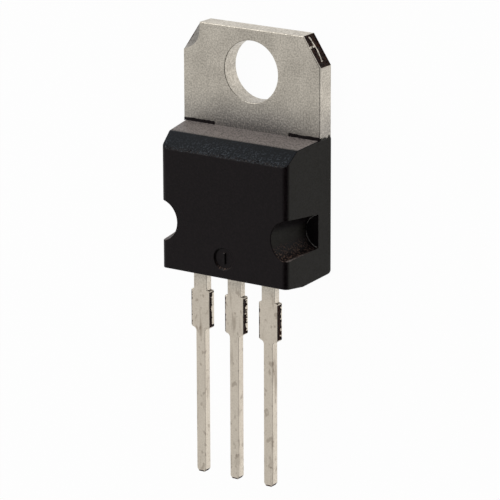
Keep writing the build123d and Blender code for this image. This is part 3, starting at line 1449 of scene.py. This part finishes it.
    def mark_cut(self, face: bmesh.types.BMFace, rim: float) -> None:
        """Give a face of the plate the torn finish on a clipped corner, or the pressed one.

        Args:
            face: The face.
            rim: Height that the torn finish reaches.
        """
        spot = face.calc_center_median()
        length = math.hypot(self.clip_across, self.clip_along)
        foot = (self.package.metal_high.x, self.package.metal_high.y - self.clip_along)
        over, up = foot[0] - abs(spot.x), spot.y - foot[1]
        share = (over * self.clip_across + up * self.clip_along) / length**2
        inside = (over * self.clip_along - up * self.clip_across) / length
        if not 0 < share < 1 or inside > self.dish_width + self.soft:
            return
        side = Side.LEFT if spot.x < 0 else Side.RIGHT
        if spot.z < rim:
            face.material_index = int(not self.on_ridge(spot.z, share, side))
        elif side is Side.LEFT:
            face.material_index = 2

    def joggle(self, bm: Mesh, half: float) -> float:
        """Add the bent strip that carries the centre lead from the header up to its level.

        Args:
            bm: The mesh to add to.
            half: Half the strip's width.

        Returns:
            Y of its lower end, where the blade starts.
        """
        low, high = self.package.lead_low.z, self.package.lead_high.z
        thick = high - low
        start = self.package.header_end
        bend = start - self.joggle_foot
        rise = bend - self.joggle_run
        end = rise - self.joggle_foot
        path = ((start + self.joggle_foot, 0.0), (bend, 0.0), (rise, 1.0), (end, 1.0))
        climb = low - (self.package.tab_thickness - thick)
        stations = [(y, self.package.tab_thickness - thick + climb * share) for y, share in path]
        corners = ((half, 0.0), (half, thick), (-half, thick), (-half, 0.0))
        first, last = loft(bm, [[Vector((x, y, z + up)) for x, up in corners] for y, z in stations])
        cover(bm, first)
        cover(bm, last)
        return end

    def build(self) -> Piece:
        """Build the tab with the centre lead.

        Returns:
            The finished piece.
        """
        bm = bmesh.new()
        self.plate(bm)
        blade = Lead(self.package, 0.0, 0.0, seed=7, clean_share=0.30, ragged=0.24)
        blade.inner_end = self.joggle(bm, blade.neck_half)
        blade.skin(bm)
        return finish_mesh(bm, "tab")

    def dress(self, piece: Piece, *finishes: Material) -> None:
        """Give the tab its plated, cropped and pressed finishes, and seat it.

        Args:
            piece: The tab.
            finishes: Its materials, in the order of its slots.
        """
        for material in finishes:
            piece.data.materials.append(material)
        seat(piece, Slot.PLATING, "tab_and_centre_lead")


@dataclass
class Interior:
    """Chips, solder and bond wires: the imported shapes, with their own finishes."""

    finishes: dict[str, GrainFinish] = field(
        default_factory=lambda: {
            "chip_solder": GrainFinish("soft_solder", (0.36, 0.36, 0.38), (0.28, 0.28, 0.30), 1.0, 0.4),
            "diode_chip": GrainFinish("silicon", (0.10, 0.11, 0.14), (0.07, 0.08, 0.11), 0.2, 0.15),
            "bond_wire": GrainFinish("aluminium_wire", (0.80, 0.80, 0.82), (0.68, 0.68, 0.70), 1.0, 0.28),
        }
    )

    def dress(self) -> None:
        """Give each packed inner piece the finish that its name calls for."""
        for ending, finish in self.finishes.items():
            material = finish.material()
            for name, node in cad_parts.items():
                if name.endswith(ending):
                    node.data.materials.clear()
                    node.data.materials.append(material)
                    log.info("%s: %s", name, finish.name)


@dataclass(frozen=True)
class SoftBox:
    """One square area lamp that points at the part.

    Attributes:
        name: Name of the lamp.
        direction: Where it stands, seen from the part.
        distance: How far away it stands.
        size: Side of its square.
        radiance: Brightness of its face.
    """

    name: str
    direction: tuple[float, float, float]
    distance: float
    size: float
    radiance: float

    def place(self, target: Vector) -> None:
        """Put the lamp in the scene, facing the target.

        Args:
            target: The point it faces.
        """
        lamp = bpy.data.lights.new(self.name, "AREA")
        lamp.shape = "SQUARE"
        lamp.size = self.size
        lamp.energy = self.radiance * math.pi * self.size**2
        holder = bpy.data.objects.new(self.name, lamp)
        bpy.context.scene.collection.objects.link(holder)
        away = Vector(self.direction).normalized()
        holder.location = target + away * self.distance
        holder.rotation_euler = away.to_track_quat("Z", "Y").to_euler()


@dataclass
class Studio:
    """Plain pale floor, a pale surround and soft lamps.

    Attributes:
        floor_half: Half the floor's width.
        floor_drop: Floor's top below the mounting face.
        floor_white: Share of plain white where the camera or a shiny face sees the floor.
        floor_grey: Grey of the floor for all other light.
        floor_roughness: Its roughness.
        floor_specular: Strength of its mirrored light.
        ceiling: Brightness of the surround overhead; at the horizon it is 1.
        horizon: Upward slopes between which it fades to the ceiling.
        flag: Share of it that a dark flag on the right lets through.
        flag_edge: Sideways slopes between which the flag sets in.
        aim: The point that the lamps face.
        lamps: The soft boxes.
    """

    floor_half: float = 1.5
    floor_drop: float = 0.01 * MM
    floor_white: float = 0.97
    floor_grey: float = 0.9
    floor_roughness: float = 0.9
    floor_specular: float = 0.1
    ceiling: float = 0.70
    horizon: tuple[float, float] = (0.05, 0.40)
    flag: float = 0.05
    flag_edge: tuple[float, float] = (-0.35, 0.35)
    aim: tuple[float, float, float] = (0.0, -8 * MM, 2 * MM)
    lamps: tuple[SoftBox, ...] = (
        SoftBox("top_left", (-0.50, 0.62, 0.60), 0.5, 0.32, 2.4),
    )

    def floor(self) -> None:
        """Lay the floor, whose colour lifts to white where the camera or a shiny face sees it."""
        bm = bmesh.new()
        place = Matrix.Translation((0, 0, -self.floor_drop))
        bmesh.ops.create_grid(bm, x_segments=1, y_segments=1, size=self.floor_half, matrix=place)
        mesh = bpy.data.meshes.new("floor")
        bm.to_mesh(mesh)
        bm.free()
        floor = bpy.data.objects.new("floor", mesh)
        bpy.context.scene.collection.objects.link(floor)
        wiring = Paint("floor")
        wiring.shader.inputs["Base Color"].default_value = (*[self.floor_grey] * 3, 1)
        wiring.shader.inputs["Roughness"].default_value = self.floor_roughness
        wiring.shader.inputs["Specular IOR Level"].default_value = self.floor_specular
        glow = wiring.tree.nodes.new("ShaderNodeEmission")
        mix = wiring.tree.nodes.new("ShaderNodeMixShader")
        seen = wiring.rays("Is Camera Ray", "Is Glossy Ray", "Is Transmission Ray")
        wiring.join(wiring.maths("MULTIPLY", seen, self.floor_white), mix.inputs["Fac"])
        wiring.join(wiring.shader.outputs["BSDF"], mix.inputs[1])
        wiring.join(glow.outputs["Emission"], mix.inputs[2])
        wiring.join(mix.outputs["Shader"], wiring.output.inputs["Surface"])
        mesh.materials.append(wiring.material)

    def world(self) -> None:
        """Surround the part with a white horizon, dimmed overhead and on the right.

        The camera itself sees plain white all round.
        """
        world = bpy.data.worlds.new("surround")
        world.use_nodes = True
        background = world.node_tree.nodes["Background"]
        background.inputs["Color"].default_value = (1, 1, 1, 1)
        wiring = Wiring(world.node_tree)
        fade = wiring.span(wiring.along("Generated", "Z"), *self.horizon, 1.0, self.ceiling)
        flag = wiring.span(wiring.along("Generated", "X"), *self.flag_edge, 1.0, self.flag)
        strength = wiring.maths("MAXIMUM", wiring.rays("Is Camera Ray"), wiring.product(fade, flag))
        wiring.join(strength, background.inputs["Strength"])
        bpy.context.scene.world = world

    def build(self) -> None:
        """Set up the whole studio."""
        self.floor()
        self.world()
        for lamp in self.lamps:
            lamp.place(Vector(self.aim))
        bpy.context.scene.view_settings.view_transform = "Standard"


@dataclass(frozen=True)
class Viewpoint:
    """The camera: turned round the part's long axis, then lifted towards the tab.

    Attributes:
        turn: Degrees round the Y axis from the front, towards the right side.
        lift: Degrees towards the tab.
        roll: Degrees round the line of sight.
        distance: From the target to the camera.
        lens: Focal length in millimetres.
        sensor: Width of the sensor in millimetres.
        clip: Nearest and farthest distances seen.
        target: The point at the picture's centre.
    """

    turn: float = 33.744
    lift: float = 16.252
    roll: float = -0.202
    distance: float = 215.40 * MM
    lens: float = 249.46
    sensor: float = 36.0
    clip: tuple[float, float] = (0.01, 20.0)
    target: tuple[float, float, float] = (0.374 * MM, -11.171 * MM, 2.0 * MM)

    def build(self) -> None:
        """Put the camera in the scene and use it."""
        turn, lift, roll = (math.radians(a) for a in (self.turn, self.lift, self.roll))
        back = Vector((math.sin(turn) * math.cos(lift), math.sin(lift), math.cos(turn) * math.cos(lift)))
        right = Vector((0, 1, 0)).cross(back).normalized()
        up = back.cross(right)
        rolled_right = math.cos(roll) * right + math.sin(roll) * up
        rolled_up = math.cos(roll) * up - math.sin(roll) * right
        matrix = Matrix((rolled_right, rolled_up, back)).transposed().to_4x4()
        matrix.translation = Vector(self.target) + back * self.distance
        lens = bpy.data.cameras.new("view")
        lens.lens = self.lens
        lens.sensor_width = self.sensor
        lens.clip_start, lens.clip_end = self.clip
        camera = bpy.data.objects.new("view", lens)
        bpy.context.scene.collection.objects.link(camera)
        camera.matrix_world = matrix
        bpy.context.scene.camera = camera


def main() -> None:
    """Build every piece in order, then the studio and the camera."""
    logging.basicConfig(level=logging.INFO, format="%(message)s")
    package = Package.from_frame()
    Viewpoint().build()
    Studio().build()
    plating = PlatingFinish().material()
    cropped = ShearFinish().material()
    moulding = Moulding(package)
    moulding.dress(moulding.build(), MouldingFinish().material())
    tab = Tab(package)
    tab.dress(tab.build(), plating, cropped, PRESSED.material())
    for side in Side:
        lead = AnodeLead(package, side)
        lead.dress(lead.build(), plating, cropped)
    Interior().dress()


if __name__ == "__main__":
    main()
